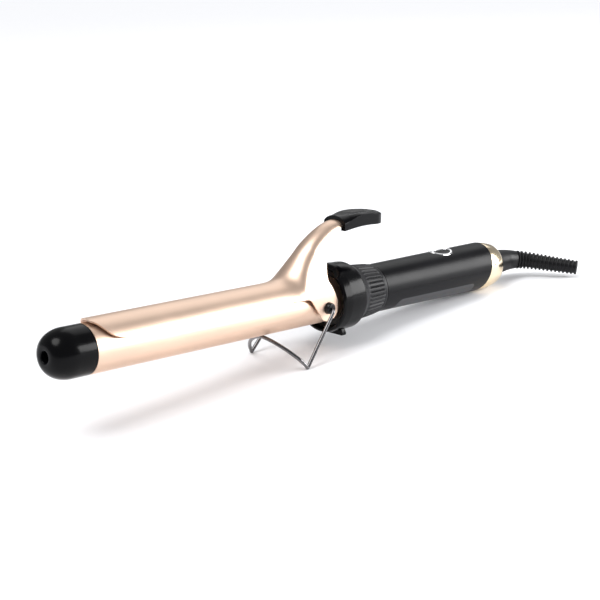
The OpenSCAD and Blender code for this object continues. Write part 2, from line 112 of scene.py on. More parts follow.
def surface(name, color, metallic, rough, spread, tint, grain, depth, coat=0.0, stretch=1.0, mirror=0.5):
    """Material with clouded colour and gloss and a fine raised grain.

    rough and spread are the roughness and how much it wanders, tint how much the colour
    does, grain and depth the grain's frequency per metre and height in millimetres, stretch
    how much longer both run along x, and mirror the strength of a plastic's reflections.
    """
    mat = bpy.data.materials.new(name)
    mat.use_nodes = True
    tree = mat.node_tree
    new, link = tree.nodes.new, tree.links.new
    shader = tree.nodes["Principled BSDF"]
    shader.inputs["Metallic"].default_value = metallic
    shader.inputs["Coat Weight"].default_value = coat
    shader.inputs["Specular IOR Level"].default_value = mirror
    shader.inputs["Coat Roughness"].default_value = 0.04
    place = new("ShaderNodeTexCoord")
    along = new("ShaderNodeMapping")
    along.inputs["Scale"].default_value = (1 / stretch, 1, 1)
    link(place.outputs["Object"], along.inputs["Vector"])

    broad = new("ShaderNodeTexNoise")
    broad.inputs["Scale"].default_value = CLOUD_SCALE
    broad.inputs["Detail"].default_value = 4
    link(along.outputs["Vector"], broad.inputs["Vector"])
    shade = new("ShaderNodeValToRGB")
    shade.color_ramp.elements[0].position = 0.3
    shade.color_ramp.elements[1].position = 0.7
    shade.color_ramp.elements[0].color = (*(c * (1 - tint) for c in color), 1)
    shade.color_ramp.elements[1].color = (*(min(c * (1 + tint), 1) for c in color), 1)
    link(broad.outputs["Fac"], shade.inputs["Fac"])
    link(shade.outputs["Color"], shader.inputs["Base Color"])

    fine = new("ShaderNodeTexNoise")
    fine.inputs["Scale"].default_value = grain
    fine.inputs["Detail"].default_value = 2
    link(along.outputs["Vector"], fine.inputs["Vector"])
    gloss = new("ShaderNodeMapRange")
    gloss.inputs["From Min"].default_value = 0.3
    gloss.inputs["From Max"].default_value = 0.7
    gloss.inputs["To Min"].default_value = max(rough - spread, 0.02)
    gloss.inputs["To Max"].default_value = rough + spread
    both = new("ShaderNodeMath")
    both.operation = "MULTIPLY_ADD"
    both.inputs[1].default_value = FINE_SHARE
    link(fine.outputs["Fac"], both.inputs[0])
    soft = new("ShaderNodeMath")
    soft.operation = "MULTIPLY"
    soft.inputs[1].default_value = 1 - FINE_SHARE
    link(broad.outputs["Fac"], soft.inputs[0])
    link(soft.outputs["Value"], both.inputs[2])
    link(both.outputs["Value"], gloss.inputs["Value"])
    link(gloss.outputs["Result"], shader.inputs["Roughness"])

    bump = new("ShaderNodeBump")
    bump.inputs["Distance"].default_value = depth * MM
    link(fine.outputs["Fac"], bump.inputs["Height"])
    link(bump.outputs["Normal"], shader.inputs["Normal"])
    return mat


MATERIALS = {
    "rose_coating": surface("rose_coating", (0.85, 0.63, 0.49), 1.0, 0.41, 0.03, 0.03, 5000, 0.0016),
    "blade_coating": surface("blade_coating", (0.85, 0.635, 0.5), 1.0, 0.41, 0.03, 0.03, 5000, 0.0016),
    "gloss_black": surface("gloss_black", (0.0015, 0.0015, 0.002), 0, 0.2, 0.04, 0.2, 700, 0.002,
                           mirror=0.13),
    "satin_black": surface("satin_black", (0.003, 0.003, 0.004), 0, 0.34, 0.05, 0.12, 3200, 0.005,
                           mirror=0.14),
    "dial_black": surface("dial_black", (0.01, 0.01, 0.0115), 0, 0.42, 0.05, 0.12, 3000, 0.008, mirror=0.2),
    "plate_grey": surface("plate_grey", (0.03, 0.03, 0.033), 0, 0.36, 0.05, 0.1, 2600, 0.006),
    "dark_plastic": surface("dark_plastic", (0.03, 0.03, 0.033), 0, 0.45, 0.08, 0.15, 2000, 0.01),
    "gold_plate": surface("gold_plate", (0.88, 0.74, 0.53), 1.0, 0.16, 0.04, 0.03, 2500, 0.0008),
    "bright_chrome": surface("bright_chrome", (0.9, 0.9, 0.91), 1.0, 0.07, 0.03, 0.02, 900, 0.0005),
    "black_chrome": surface("black_chrome", (0.16, 0.155, 0.16), 1.0, 0.16, 0.06, 0.1, 1600, 0.002),
    "stud_black": surface("stud_black", (0.005, 0.005, 0.006), 0, 0.2, 0.05, 0.2, 1500, 0.004, mirror=0.3),
    "steel": surface("steel", (0.6, 0.61, 0.63), 1.0, 0.28, 0.08, 0.06, 1800, 0.003),
    "spring_steel": surface("spring_steel", (0.55, 0.56, 0.58), 1.0, 0.25, 0.08, 0.08, 2600, 0.002,
                            stretch=5),
    "spreader_alu": surface("spreader_alu", (0.72, 0.74, 0.76), 1.0, 0.38, 0.08, 0.06, 1500, 0.01,
                            stretch=20),
    "ceramic": surface("ceramic", (0.16, 0.165, 0.18), 0, 0.6, 0.1, 0.15, 1800, 0.02),
    "copper": surface("copper", (0.78, 0.42, 0.24), 1.0, 0.3, 0.1, 0.12, 1500, 0.003, stretch=8),
    "contact_brass": surface("contact_brass", (0.82, 0.6, 0.3), 1.0, 0.25, 0.08, 0.08, 1500, 0.003),
    "film": surface("film", (0.5, 0.17, 0.02), 0, 0.2, 0.06, 0.15, 500, 0.01, 0.3),
    "sleeve_red": surface("sleeve_red", (0.2, 0.03, 0.02), 0, 0.6, 0.1, 0.2, 2500, 0.03),
    "wire_white": surface("wire_white", (0.75, 0.72, 0.66), 0, 0.45, 0.08, 0.05, 1500, 0.006),
    "bush_brown": surface("bush_brown", (0.012, 0.01, 0.009), 0, 0.5, 0.1, 0.2, 900, 0.01, mirror=0.3),
    "board_green": surface("board_green", (0.02, 0.13, 0.05), 0, 0.35, 0.08, 0.2, 900, 0.01, 0.2),
    "component_black": surface("component_black", (0.02, 0.02, 0.022), 0, 0.5, 0.08, 0.15, 1500, 0.01),
    "boot_rubber": surface("boot_rubber", (0.006, 0.006, 0.007), 0, 0.4, 0.07, 0.15, 2200, 0.01, mirror=0.25),
}

for subpart in frame["record"]["subparts"]:
    mesh = frame["nodes"][subpart["node"]].data
    mesh.materials.clear()
    mesh.materials.append(MATERIALS[subpart["material_slot"]])

# ---- modelling helpers ------------------------------------------------------


def draft(name, points, faces):
    """Object still in the iron's millimetres."""
    mesh = bpy.data.meshes.new(name)
    mesh.from_pydata([tuple(map(float, p)) for p in points], [], faces)
    obj = bpy.data.objects.new(name, mesh)
    scene.collection.objects.link(obj)
    return obj


def grid(rows, cols, close_rows=False, close_cols=False):
    """Quads over rows * cols points, closed round either way if asked."""
    faces = []
    for i in range(rows if close_rows else rows - 1):
        for j in range(cols if close_cols else cols - 1):
            row, next_row, next_j = i * cols, (i + 1) % rows * cols, (j + 1) % cols
            faces.append((row + j, row + next_j, next_row + next_j, next_row + j))
    return faces


def capped(name, points, around):
    """Solid through rings of points, with a flat face on the first and on the last."""
    count = len(points)
    faces = grid(count // around, around, close_cols=True)
    faces += [tuple(range(around)), tuple(range(count - 1, count - around - 1, -1))]
    return draft(name, points, faces)


def turns(count):
    """Angles evenly round a circle."""
    return [2 * math.pi * k / count for k in range(count)]


def about_axis(x, r, a):
    """Point at radius r from the iron's axis, turned by a from the near side towards the clamp."""
    return (x, -r * math.cos(a), r * math.sin(a))


def modify(obj, kind, **settings):
    """Adds a modifier and applies it."""
    modifier = obj.modifiers.new(kind, kind)
    for key, value in settings.items():
        setattr(modifier, key, value)
    bpy.context.view_layer.update()
    shaped = bpy.data.meshes.new_from_object(obj.evaluated_get(bpy.context.evaluated_depsgraph_get()))
    obj.modifiers.clear()
    old, obj.data = obj.data, shaped
    shaped.name = old.name
    bpy.data.meshes.remove(old)
    return obj


def combine(obj, tool, operation="DIFFERENCE"):
    """Boolean with another draft, which is used up."""
    outward(tool)
    modify(obj, "BOOLEAN", object=tool, operation=operation, solver="FAST")
    mesh = tool.data
    bpy.data.objects.remove(tool)
    bpy.data.meshes.remove(mesh)
    return obj


def outward(obj):
    """Turns a closed mesh's faces outwards."""
    bm = bmesh.new()
    bm.from_mesh(obj.data)
    bmesh.ops.recalc_face_normals(bm, faces=bm.faces)
    bm.to_mesh(obj.data)
    bm.free()
    return obj


def join(obj, other):
    """Adds another draft's mesh to this piece."""
    bm = bmesh.new()
    bm.from_mesh(obj.data)
    bm.from_mesh(other.data)
    bm.to_mesh(obj.data)
    bm.free()
    mesh = other.data
    bpy.data.objects.remove(other)
    bpy.data.meshes.remove(mesh)
    return obj


def soften(obj, width, angle=40, segments=2):
    return modify(obj, "BEVEL", width=width, segments=segments, limit_method="ANGLE",
                  angle_limit=math.radians(angle), use_clamp_overlap=True, miter_outer="MITER_ARC")


def finish(obj, body, slot, *nodes, angle=35, weighted=True):
    """Smooth shading, then out of the iron's millimetres and onto its body."""
    outward(obj)
    obj.data.shade_smooth()
    obj.data.set_sharp_from_angle(angle=math.radians(angle))
    if weighted:
        modify(obj, "WEIGHTED_NORMAL", keep_sharp=True, weight=50)
    obj.data.transform(REST)
    obj.data.materials.clear()
    obj.data.materials.append(MATERIALS[slot])
    obj.data.update()
    if body:
        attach(obj, body)
    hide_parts(*nodes)
    return obj


def rounded(corners, radius, steps=4, closed=True):
    """Outline or path, flat or in space, with its corners rounded by one radius or by a list."""
    pts = [Vector(c) for c in corners]
    n = len(pts)
    radii = radius if isinstance(radius, (list, tuple)) else [radius] * n
    out = []
    for i, p in enumerate(pts):
        if radii[i] <= 0 or (not closed and i in (0, n - 1)):
            out.append(p)
            continue
        a, b = pts[i - 1] - p, pts[(i + 1) % n] - p
        half = (math.pi - a.angle(b)) / 2
        if half < 0.02:
            out.append(p)
            continue
        reach = min(radii[i] * math.tan(half), 0.45 * a.length, 0.45 * b.length)
        start, stop = p + a.normalized() * reach, p + b.normalized() * reach
        for k in range(steps + 1):
            t = k / steps
            out.append(start * (1 - t) ** 2 + p * 2 * t * (1 - t) + stop * t ** 2)
    return [tuple(p) for p in out]


def lathe(name, profile, count=160):
    """Turns a closed loop of (x, r) about the axis."""
    points = [about_axis(x, r, a) for a in turns(count) for x, r in profile]
    return draft(name, points, grid(count, len(profile), True, True))


def prism(name, outline, y0, y1):
    """Solid between y0 and y1 over an outline of (x, z)."""
    return capped(name, [(x, y, z) for y in (y0, y1) for x, z in outline], len(outline))


def slab(name, outline, z0, z1):
    """Solid between z0 and z1 over an outline of (x, y)."""
    return capped(name, [(x, y, z) for z in (z0, z1) for x, y in outline], len(outline))


def crosswise(name, outline, x0, x1):
    """Solid between x0 and x1 over an outline of (y, z)."""
    return capped(name, [(x, y, z) for x in (x0, x1) for y, z in outline], len(outline))


def circle(cx, cy, r, count=48, r2=None):
    """Outline of a circle or an ellipse."""
    return [(cx + r * math.cos(a), cy + (r2 or r) * math.sin(a)) for a in turns(count)]


def curve(rows, at):
    """Smooth interpolation of a table whose first column rises."""
    rows = np.array(rows, float)
    x, y = rows[:, 0], rows[:, 1:]
    h = np.diff(x)
    d = np.diff(y, axis=0) / h[:, None]
    m = np.vstack([d[:1], (d[:-1] * h[1:, None] + d[1:] * h[:-1, None]) / (h[1:] + h[:-1])[:, None], d[-1:]])
    flat = np.vstack([np.zeros_like(d[:1]), np.where(d[:-1] * d[1:] <= 0, 1, 0), np.zeros_like(d[:1])])
    m = np.where(flat > 0, 0, m)
    at = np.atleast_1d(np.asarray(at, float))
    i = np.clip(np.searchsorted(x, at) - 1, 0, len(h) - 1)
    t = np.clip((at - x[i]) / h[i], 0, 1)[:, None]
    hi = h[i][:, None]
    return ((2 * t ** 3 - 3 * t ** 2 + 1) * y[i] + (t ** 3 - 2 * t ** 2 + t) * hi * m[i]
            + (3 * t ** 2 - 2 * t ** 3) * y[i + 1] + (t ** 3 - t ** 2) * hi * m[i + 1])


def swept(name, path, r, count):
    """Round bar along a path of points."""
    path = [Vector(p) for p in path]
    n = len(path)
    tangents = [(path[min(i + 1, n - 1)] - path[max(i - 1, 0)]).normalized() for i in range(n)]
    side = tangents[0].orthogonal().normalized()
    points = []
    for p, t in zip(path, tangents):
        side = (side - t * side.dot(t)).normalized()
        up = t.cross(side)
        points += [p + (side * math.cos(a) + up * math.sin(a)) * r for a in turns(count)]
    return capped(name, points, count)


# ---- tip cap ----------------------------------------------------------------

CAP_SIDE = 10
NOSE_LONG = 12
NOSE_FLAT_R = 4.5
NOSE_ROUND = 8
NOSE_STEPS = 18
SCREW_HOLE_R = 3


def make_cap():
    """Hollow cap turned from one loop: inside, plug in the barrel, dome, screw hole."""
    nose = [math.radians(90 * k / NOSE_STEPS) for k in range(NOSE_STEPS, 0, -1)]
    dome = [(-CAP_SIDE - NOSE_LONG * math.cos(t), NOSE_FLAT_R + NOSE_ROUND * math.sin(t)) for t in nose]
    inside = [(-9.5, SCREW_HOLE_R), (-9.5, 1.6), (-7, 1.6), (-7, 5), (-16.5, 5), (-16.5, 9), (-12, 9.6)]
    plug = [(6, 9.6), (6, 11.6), (0, 11.6), (-0.15, BARREL_R - 0.35), (-0.35, BARREL_R)]
    front = -CAP_SIDE - NOSE_LONG
    hole = [(front, NOSE_FLAT_R), (front, SCREW_HOLE_R), (front + 2, SCREW_HOLE_R)]
    obj = lathe("cap_shell", inside + plug + dome + rounded(hole, [0, 0.7, 0], 5, closed=False))
    finish(obj, "iron_body", "gloss_black", "tip_cap", weighted=False)


make_cap()

# ---- clamp: blade, flanks and lever in one sheet ----------------------------

# height of the lower edge along the blade
BLADE_EDGE = [(2, 13.3), (3, 13), (4, 12.3), (5, 11.3), (6.5, 9.7), (8.5, 8), (11, 6.7), (14, 6), (20, 5.7),
              (40, 5.7), (118, 5.7)]
# height of the crown, from the end of the blade to the end of the lever
CROWN = [(118, 13.7), (122, 13.75), (126, 14.1), (130, 15.4), (133.5, 17.6), (137, 20.8), (141, 25.2),
         (145, 29.3), (149, 32.8), (153.5, 36), (158.5, 38.8), (163.5, 40.8), (168.5, 42), (173, 42.3)]
# each station's place along the crown, then the x and z of the lower edge that answers it:
# before the ear, evenly round it, and up the rear of the lever
RULES = [(118, 118, 5.7), (122, 123.5, 5.7), (126, 129.5, 5.7), (129, 133.5, 5.7), (131, 136.5, 5.6),
         (132.6, 138.2, 5), (134, 139.6, 4), (135.2, 141.4, 1.6), (136.2, 143.3, -1), (137.2, 145.4, -3.7)]
EAR_R = 7.2
EAR_HOLE_R = 3.38
EAR_FROM = -128
EAR_TURN = 120
EAR_STATIONS = 11
EAR_CROWN = 137.9
EAR_CROWN_LONG = 5.1
REAR = [(144, 159.1, 1.6), (144.8, 158.2, 3.6), (145.6, 156.8, 6), (146.6, 154.9, 8.7), (147.8, 153.5, 12.8),
        (149, 154.4, 17.6), (151, 155.9, 23), (153.5, 157.4, 27.6), (156.8, 159.6, 32.2), (161, 162.5, 35.9),
        (165, 165.6, 38.1), (169, 169, 39.2), (173, 173, 39.5)]
# half the width of the flanks at each height, and the rounding of the top along the crown
HALF_WIDTH = [(-9, 13.78), (3, 13.78), (5, 13.75), (7, 13.6), (10, 12.8), (13, 11.5), (17, 9.6), (21, 8.2),
              (26, 6.9), (30, 6.1), (34, 5.6), (38, 5.3), (43, 5.2)]
TOP_ROUND = [(118, 13.7), (122, 13.2), (126, 11.5), (130, 9.2), (133.5, 7.2), (137, 5.8), (141, 4.8),
             (149, 3.8), (158, 3.4), (173, 3.3)]
ACROSS = 34
ROUND_UNIT = 9
FLARE_START = 121
FLARE_LONG = 13
TONGUE_HALF = 4.6


def lever_rules():
    """Stations of the lever as (place along the crown, x and z of the edge)."""
    rows = [(s, (x, z)) for s, x, z in RULES]
    for k in range(EAR_STATIONS):
        share = k / (EAR_STATIONS - 1)
        a = math.radians(EAR_FROM + EAR_TURN * share)
        s = EAR_CROWN + EAR_CROWN_LONG * share
        rows.append((s, (PIVOT_X + EAR_R * math.cos(a), PIVOT_Z + EAR_R * math.sin(a))))
    rows += [(s, (x, z)) for s, x, z in REAR]
    # two more stations between each pair keep the edge smooth
    table = [(k, s, *e) for k, (s, e) in enumerate(rows)]
    places = np.arange(0, len(rows) - 1 + 1e-6, 1 / 3)
    return curve(table, places)


def half_section(top, edge, round_depth, spread):
    """Points from the crown down to the edge, over one flank.

    Steps go round the rounded top and then down the flank; spread takes the half width from
    the blade's own, at 0, to the lever's, at 1.
    """
    depth = top[1] - edge[1]
    cut = min(round_depth, depth)
    sweep = math.acos(1 - cut / round_depth)
    arc = sweep * ROUND_UNIT
    total = arc + (depth - cut)
    points = []
    for k in range(ACROSS + 1):
        s = total * k / ACROSS
        d = round_depth * (1 - math.cos(s / ROUND_UNIT)) if s < arc else cut + s - arc
        f = d / depth
        z = top[1] - d
        flank = float(curve(HALF_WIDTH, z)[0, 0])
        wide = BLADE_R + (flank - BLADE_R) * spread
        y = wide * math.sin(min(s, arc) / ROUND_UNIT)
        points.append((top[0] + f * (edge[0] - top[0]), y, z))
    return points


def make_clamp():
    stations = []
    front = [2, 2.5, 3, 3.5, 3.9, 4.3, 4.65, 5, 5.5, 6, 6.6, 7.3, 8, 9, 10, 11, 12.5, 14, 16, 18, 20]
    for x in front + [20 + 7 * k for k in range(1, 14)]:
        z = float(curve(BLADE_EDGE, x)[0, 0])
        stations.append(half_section((x, BLADE_R), (x, z), BLADE_R, 0))
    for s, x, z in lever_rules():
        top = (s, float(curve(CROWN, s)[0, 0]))
        spread = min(max((s - FLARE_START) / FLARE_LONG, 0), 1)
        spread = spread * spread * (3 - 2 * spread)
        stations.append(half_section(top, (x, z), float(curve(TOP_ROUND, s)[0, 0]), spread))
    points = []
    for half in stations:
        points += [(x, -y, z) for x, y, z in reversed(half[1:])] + half
    wide = 2 * ACROSS + 1
    obj = draft("clamp_sheet", points, grid(len(stations), wide))
    modify(obj, "SOLIDIFY", thickness=SHEET, offset=-1, use_even_offset=False, use_quality_normals=True)
    outward(obj)
    for y in (-1, 1):
        combine(obj, prism("hole", circle(PIVOT_X, PIVOT_Z, EAR_HOLE_R, 64), 10 * y, 17 * y))
    soften(obj, 0.2, 55)
    w = TONGUE_HALF
    tongue = rounded([(173.5, -w), (194, -w), (194, w), (173.5, w)], [0, 1.5, 1.5, 0])
    join(obj, slab("tongue", tongue, 40.4, 41.35))
    finish(obj, "clamp_lever", "blade_coating", "clamp", angle=50)


make_clamp()

# ---- leaf spring ------------------------------------------------------------

SPRING_PATH = [(143, 24.7), (147.55, 29.2), (148.5, 29.2), (149.15, 28.5), (150.55, 21.95), (151.95, 17.2),
               (154, 14.2), (157, 12.98), (159.6, 13.3)]
SPRING_HALF = 3.5


def make_spring():
    path = rounded(SPRING_PATH, 2.5, 5, closed=False)
    fine = []
    for (x0, z0), (x1, z1) in zip(path, path[1:]):
        parts = max(1, round(math.hypot(x1 - x0, z1 - z0) / 0.6))
        fine += [(x0 + (x1 - x0) * k / parts, z0 + (z1 - z0) * k / parts) for k in range(parts)]
    fine.append(path[-1])
    points = [(x, y, z) for x, z in fine for y in (-SPRING_HALF, -1.2, 1.2, SPRING_HALF)]
    obj = draft("spring_leaf", points, grid(len(fine), 4))
    modify(obj, "SOLIDIFY", thickness=0.45, offset=0)
    soften(obj, 0.1, 60)
    finish(obj, None, "spring_steel", "clamp_spring", angle=50)
    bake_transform(obj)


make_spring()

# ---- thumb rest -------------------------------------------------------------

# heights of the top across the rest, for each place along it, against the inset below
INSETS = [0, 0.5, 1.2, 2.5, 4, 6, 8]
TOP = [(170, 41.3, 42.2, 42.9, 43.8, 44.5, 44.95, 45.1),
       (174, 42.6, 43.2, 43.8, 44.55, 45.0, 45.3, 45.4),
       (178, 43.9, 44.4, 44.85, 45.4, 45.5, 45.45, 45.4),
       (184, 45.2, 45.45, 45.65, 45.9, 45.5, 44.95, 44.75),
       (190, 45.3, 45.5, 45.6, 45.8, 45.3, 44.7, 44.5),
       (196, 44.2, 44.6, 44.9, 45.3, 44.9, 44.4, 44.2),
       (204, 43.3, 43.8, 44.1, 44.5, 44.2, 43.9, 43.8)]
BOTTOM = [(170, 37.5), (177, 38.3), (183.4, 38.8), (190, 38.85), (196, 38.6), (204, 38.7)]
REST_FRONT = 170.0
REST_TURN = 196.0
REST_HALF = 8.0


def u_curve(inset, lengthways=30, around=32):
    """Outline open to the front, from the near side round the rear to the far side."""
    r = REST_HALF - inset
    run = [REST_FRONT + (REST_TURN - REST_FRONT) * k / lengthways for k in range(lengthways)]
    side = [(x, -r) for x in run]
    turn = [math.pi * (k / around - 0.5) for k in range(around + 1)]
    rear = [(REST_TURN + r * math.cos(a), r * math.sin(a)) for a in turn]
    return side + rear + [(x, r) for x in reversed(run)]


def make_thumb_rest():
    insets = [0, 0.12, 0.3, 0.5, 0.8, 1.2, 1.8, 2.3, 2.5, 2.7, 3.2, 4, 5, 6, 7, 7.9]
    rings = []
    for z_share in (0, 0.08, 0.5, 0.85):
        ring = []
        for x, y in u_curve(0):
            low, high = float(curve(BOTTOM, x)[0, 0]), float(curve(TOP, x)[0, 0])
            ring.append((x, y, low + (high - low) * z_share))
        rings.append(ring)
    for inset in insets:
        ring = []
        for x, y in u_curve(inset):
            row = curve(TOP, x)[0]
            z = float(curve([(i, v) for i, v in zip(INSETS, row)], inset)[0, 0])
            ring.append((x, y, z))
        rings.append(ring)
    n = len(rings[0])
    points = [p for ring in rings for p in ring]
    faces = grid(len(rings), n)
    # the two sides meet along the middle, the front is one flat face, and so is the bottom
    last = (len(rings) - 1) * n
    half = n // 2
    faces += [(last + k, last + k + 1, last + n - 2 - k, last + n - 1 - k) for k in range(half - 1)]
    faces.append((last + half - 1, last + half, last + half + 1))
    low = len(points)
    points += [(x, 0, float(curve(BOTTOM, x)[0, 0])) for x, y, z in rings[0][:half + 1]]
    faces += [(k, k + 1, low + k + 1, low + k) for k in range(half)]
    faces += [(n - 1 - k, low + k, low + k + 1, n - 2 - k) for k in range(half)]
    front = [r * n for r in range(len(rings))] + [r * n + n - 1 for r in reversed(range(len(rings)))] + [low]
    faces.append(tuple(front))
    obj = draft("thumb_rest_shell", points, faces)
    modify(obj, "WELD", merge_threshold=0.001)
    outward(obj)
    inner = [(x + 1.4, y) for x, y in u_curve(1.4, 12, 24)]
    inner = [(min(x, REST_TURN + 6.6), y) for x, y in inner]
    combine(obj, slab("inner", inner, 34, 41.45))
    arch = [(5.05, 36), (5.05, 39.8), (4.6, 41), (3.6, 41.9), (2, 42.4), (0, 42.55)]
    outline = arch + [(-y, z) for y, z in reversed(arch[:-1])]
    combine(obj, crosswise("mouth", outline, 168, 174))
    soften(obj, 0.3, 50, 3)
    finish(obj, "clamp_lever", "gloss_black", "thumb_rest", angle=40)


make_thumb_rest()

# ---- stand ------------------------------------------------------------------

WIRE_R = 1.0
FOOT = (130.0, 21.4, -28.4)
APEX = (117.2, -13.9)
ARCH_BOW = 1.55
ARCH_STEPS = 12


def arch_point(turn):
    """Place on the arch between the feet: turn 0 is a foot and a quarter turn the apex."""
    out = FOOT[1] * math.cos(turn) ** (2 / ARCH_BOW)
    share = math.sin(turn) ** (2 / ARCH_BOW)
    return (FOOT[0] + (APEX[0] - FOOT[0]) * share, out, FOOT[2] + (APEX[1] - FOOT[2]) * share)


def make_stand():
    half = [(PIVOT_X, 13.1, PIVOT_Z), (PIVOT_X, 19, PIVOT_Z), (FOOT[0] - 0.15, FOOT[1] + 0.1, FOOT[2] - 0.42)]
    arch = [arch_point(math.pi / 2 * k / ARCH_STEPS) for k in range(1, ARCH_STEPS)] + [(APEX[0], 0, APEX[1])]
    right = half + arch
    left = [(x, -y, z) for x, y, z in reversed(right[:-1])]
    bends = [0, 2.6, 1.9] + [3] * (2 * len(arch) - 1) + [1.9, 2.6, 0]
    obj = swept("stand_loop", rounded(right + left, bends, 8, closed=False), WIRE_R, 20)
    finish(obj, "stand", "black_chrome", "stand_wire", angle=60, weighted=False)


make_stand()

# ---- collar -----------------------------------------------------------------

SCOOP_R = 15.0
SCOOP_Z = 27.0
SCOOP_BACK = 6.5
SCOOP_REACH = 9.5
SCOOP_SOFT = 0.16
PLATE_HALF = 9.3


def scooped(x, z):
    """Pushes the front of the collar back where the round scoop crosses it."""
    lift = SCOOP_R ** 2 - (SCOOP_Z - z) ** 2
    dent = (math.sqrt(lift) - SCOOP_BACK) if lift > 0 else -SCOOP_BACK
    dent = (dent + math.sqrt(dent * dent + SCOOP_SOFT)) / 2
    along = x - COLLAR_X
    return x + dent * (1 - along / SCOOP_REACH) if along < SCOOP_REACH else x


def make_collar():
    r, x, d = COLLAR_R, COLLAR_X, DIAL_X
    outside = [(x, r - 2), (x, r - 0.7), (x + 1.2, r - 0.1), (x + 6, r + 0.3), (x + 12, r + 0.2),
               (d - 0.6, r), (d, r - 0.5)]
    inside = [(d, r - 1.6), (d - 2, r - 1.6), (d - 2, 12.6), (HANDLE_X + 0.2, 12.6),
              (HANDLE_X + 0.2, 11.5), (HANDLE_X + 7, 11.5), (HANDLE_X + 7, 10), (d - 6, 10), (d - 6, 15.2),
              (x + 5, 15.2), (x + 4, r - 2)]
    fillets = [0.4, 0.6, 4, 8, 8, 0.6, 0.4] + [0] * 10 + [0.4]
    obj = lathe("collar_body", rounded(outside + inside, fillets, 4), 360)
    for vertex in obj.data.vertices:
        vertex.co[0] = scooped(vertex.co[0], vertex.co[2])
    w = PLATE_HALF
    foot = [(-w, -20), (-w + 0.6, -20.35), (w - 0.6, -20.35), (w, -20), (w, -19), (w - 1.5, -15.6),
            (-w + 1.5, -15.6), (-w, -19)]
    plate = crosswise("plate", foot, x + 8.3, x + 11.3)
    outward(plate)
    soften(plate, 0.2, 30, 3)
    join(obj, plate)
    finish(obj, "iron_body", "gloss_black", "collar", angle=35, weighted=False)


make_collar()

# ---- dial -------------------------------------------------------------------

RIBS = 36
RIB_HIGH = 0.42
GROOVE_DEEP = 0.75
DIAL_PROFILE = [(0.4, 17.2), (0.8, 17.55), (1.9, 17.2), (3.8, 16.15), (5.6, 15.5), (7.2, 15.15), (10, 14.85),
                (13, 14.6), (17, 14.25), (20.2, 14.0), (20.8, 14.08), (22.2, 13.95)]


def make_dial():
    count = RIBS * 12
    xs = [0.4, 0.6, 0.8, 1.1, 1.5, 1.9, 2.8, 3.8, 4.7, 5.6, 6.1, 6.6, 7.0, 7.4, 7.8, 8.4, 9.2]
    xs += list(np.arange(10.2, 19, 1.0)) + [19.2, 19.6, 19.9, 20.2, 20.5, 20.8, 21.5, 22.0, 22.2]
    radii = curve(DIAL_PROFILE, xs)[:, 0]
    inside = [(22.2, 12.68), (4.6, 12.68), (4.4, 14), (2.4, 16.2), (0.4, 16.2)]
    points = []
    for a in turns(count):
        groove = (0.5 + 0.5 * math.cos(a * RIBS)) ** 4
        for x, r in zip(xs, radii):
            rise = min(max((x - 6.0) / 1.6, 0), 1) * min(max((20.3 - x) / 1.0, 0), 1)
            lift = RIB_HIGH - GROOVE_DEEP * groove
            points.append(about_axis(DIAL_X + x, r + rise * lift, a))
        points += [about_axis(DIAL_X + x, r, a) for x, r in inside]
    obj = draft("dial_grip", points, grid(count, len(xs) + len(inside), True, True))
    finish(obj, "dial", "dial_black", "dial_ring", angle=45, weighted=False)


make_dial()

# ---- handle -----------------------------------------------------------------

SLANT = math.tan(math.radians(15.3))
HANDLE_RF = 13.6
HANDLE_RR = 14.3
SEAM = 0.05
WALL = 1.9
SHELL_STEPS = 72
POCKET_R = 12.67
BUTTON_X = 260.6


def handle_radius(x):
    return HANDLE_RF + (HANDLE_RR - HANDLE_RF) * (x - HANDLE_X) / (HANDLE_END - HANDLE_X)


def make_shell(name, low, cutters):
    """Upper or lower half of the handle, open at the seam, less what the cutters take."""
    gap = math.asin(SEAM / HANDLE_RF)
    points = []
    steps = [0, 0.3, 0.7, 1.2, 2.5] + list(np.linspace(6, 86, 15)) + [88.5, 90.6, 91.6]
    for k in range(SHELL_STEPS + 1):
        a = gap + (math.pi - 2 * gap) * k / SHELL_STEPS
        a = a + math.pi if low else a
        rear = HANDLE_END + HANDLE_RR * math.sin(a) * SLANT
        for s in steps:
            x = HANDLE_X + 0.4 + (rear - HANDLE_X - 0.4) * s / steps[-1]
            points.append(about_axis(x, handle_radius(x), a))
    obj = draft(name, points, grid(SHELL_STEPS + 1, len(steps)))
    outward_from_axis(obj)
    modify(obj, "SOLIDIFY", thickness=WALL, offset=-1, use_even_offset=False, use_quality_normals=True)
    outward(obj)
    for tool in cutters:
        combine(obj, tool)
    soften(obj, 0.28, 50, 3)
    return obj


def outward_from_axis(obj):
    """Turns an open sheet's faces away from the iron's axis."""
    face = obj.data.polygons[0]
    if face.normal.dot(Vector((0, face.center[1], face.center[2]))) < 0:
        obj.data.flip_normals()


def make_handle():
    """Two halves, with a hole for the button above and a pocket for the plate below."""
    hole = slab("hole", circle(BUTTON_X, 0, 8.6, 72, 6.6), 8, 18)
    upper = make_shell("handle_top", False, [hole])
    finish(upper, "iron_body", "satin_black", "handle_upper", angle=35)
    front, rear = HANDLE_X + 11.4, HANDLE_X + 79.4
    corners = [(front, -24), (rear, -24), (rear, -6), (front, -6)]
    pocket = prism("pocket", rounded(corners, [0, 0, 4.1, 4.1], 10), -20, 20)
    profile = [(HANDLE_X, POCKET_R), (HANDLE_X, 20), (HANDLE_X + 90, 20), (HANDLE_X + 90, POCKET_R + 0.68)]
    combine(pocket, lathe("shape", profile, 128), "INTERSECT")
    lower = make_shell("handle_base", True, [pocket])
    finish(lower, "iron_body", "satin_black", "handle_lower", angle=35)


make_handle()

# ---- button -----------------------------------------------------------------


OVAL_STEPS = 96
BEZEL_CROWN = 14.34
BUTTON_CROWN = 13.9
STEM_R = 1.8


